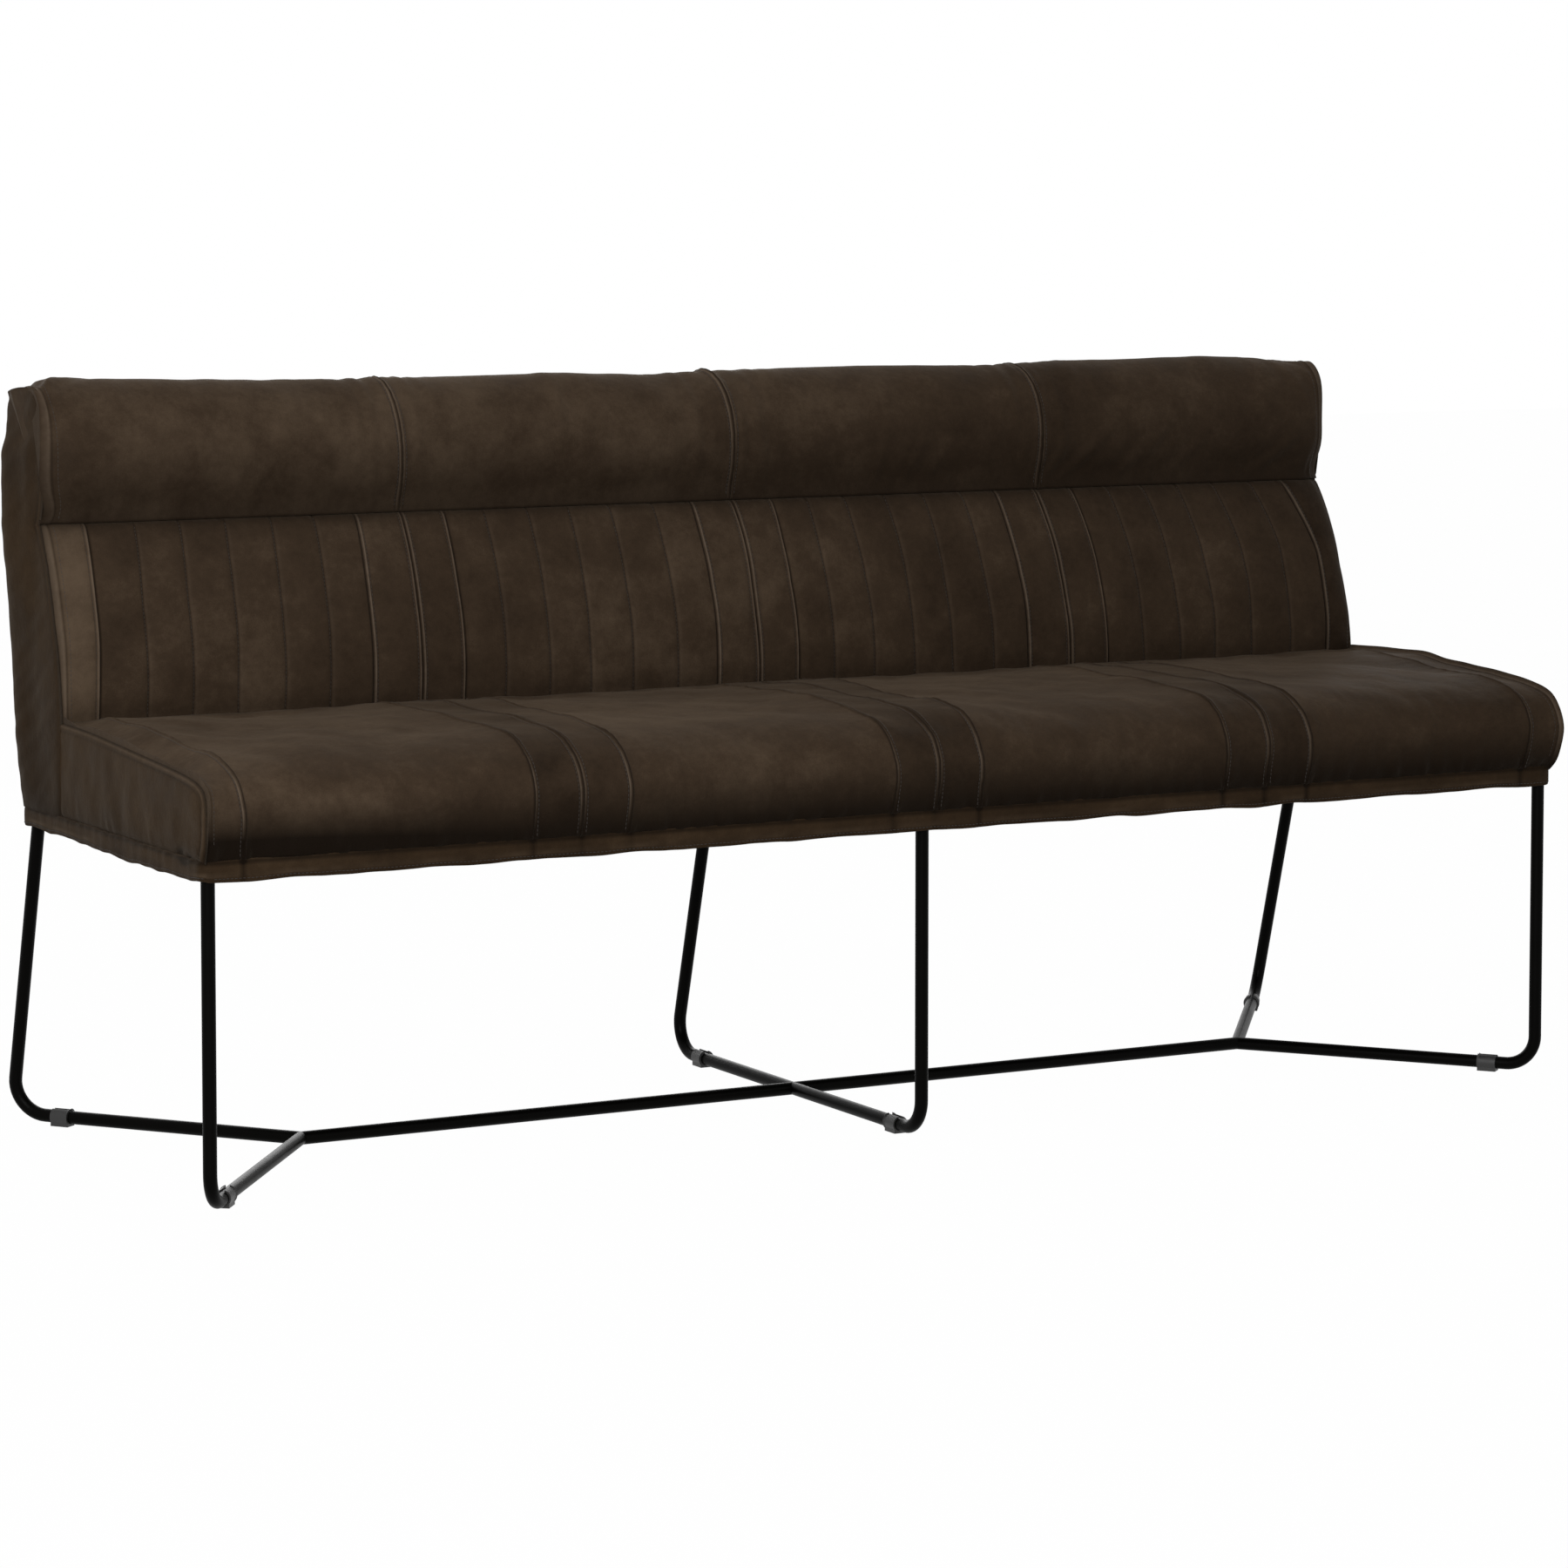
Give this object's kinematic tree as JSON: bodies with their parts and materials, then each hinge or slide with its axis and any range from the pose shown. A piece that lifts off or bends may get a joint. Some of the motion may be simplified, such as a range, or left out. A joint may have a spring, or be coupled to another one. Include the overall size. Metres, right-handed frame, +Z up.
{
  "type": "upholstered dining sofa",
  "caption": "Long upholstered dining sofa with a channelled leather back, a rolled bolster and seat, on a bent steel tube underframe.",
  "frame": {"origin": "on the floor, under the centre of the overall box", "axes": "+X along the sofa, to the right of someone who stands in front of it; +Y from the front to the back; +Z up"},
  "size_m": [1.86, 0.6704, 0.9097],
  "materials": {
    "frame_steel": "satin",
    "glide_plastic": "matte",
    "zinc_steel": "satin",
    "webbing": "matte",
    "lining_cloth": "matte",
    "foam": "matte",
    "frame_wood": "matte",
    "leather": "satin",
    "leather_edge": "satin"
  },
  "bodies": {
    "root": {"leg_front_left": "frame_steel", "leg_rear_left": "frame_steel", "leg_front_middle": "frame_steel", "leg_rear_middle": "frame_steel", "leg_front_right": "frame_steel", "leg_rear_right": "frame_steel", "floor_rail_left": "frame_steel", "floor_rail_right": "frame_steel", "top_bar_left": "frame_steel", "top_bar_middle": "frame_steel", "top_bar_right": "frame_steel", "frame_screws": "zinc_steel", "glide_front_left": "glide_plastic", "glide_rear_left": "glide_plastic", "glide_front_middle": "glide_plastic", "glide_rear_middle": "glide_plastic", "glide_front_right": "glide_plastic", "glide_rear_right": "glide_plastic", "seat_front_rail": "frame_wood", "seat_rear_rail": "frame_wood", "seat_end_rail_left": "frame_wood", "seat_end_rail_right": "frame_wood", "seat_cross_rail_left": "frame_wood", "seat_cross_rail_middle": "frame_wood", "seat_cross_rail_right": "frame_wood", "corner_blocks": "frame_wood", "dust_cover": "lining_cloth", "seat_webbing": "webbing", "seat_foam": "foam", "seat_cover": "leather", "seat_side_left": "leather_edge", "seat_side_right": "leather_edge", "seat_hem_front": "leather_edge", "seat_hem_rear": "leather_edge", "seat_hem_left": "leather_edge", "seat_hem_right": "leather_edge", "back_post_left_end": "frame_wood", "back_post_left": "frame_wood", "back_post_middle": "frame_wood", "back_post_right": "frame_wood", "back_post_right_end": "frame_wood", "post_screws": "zinc_steel", "back_bottom_board": "frame_wood", "back_seam_board": "frame_wood", "back_top_board": "frame_wood", "back_webbing": "webbing", "back_foam": "foam", "bolster_foam": "foam", "back_channel_panel": "leather", "back_bolster_cover": "leather", "back_side_left": "leather_edge", "back_side_right": "leather_edge", "back_rear_cover": "leather_edge"}
  },
  "joints": []
}
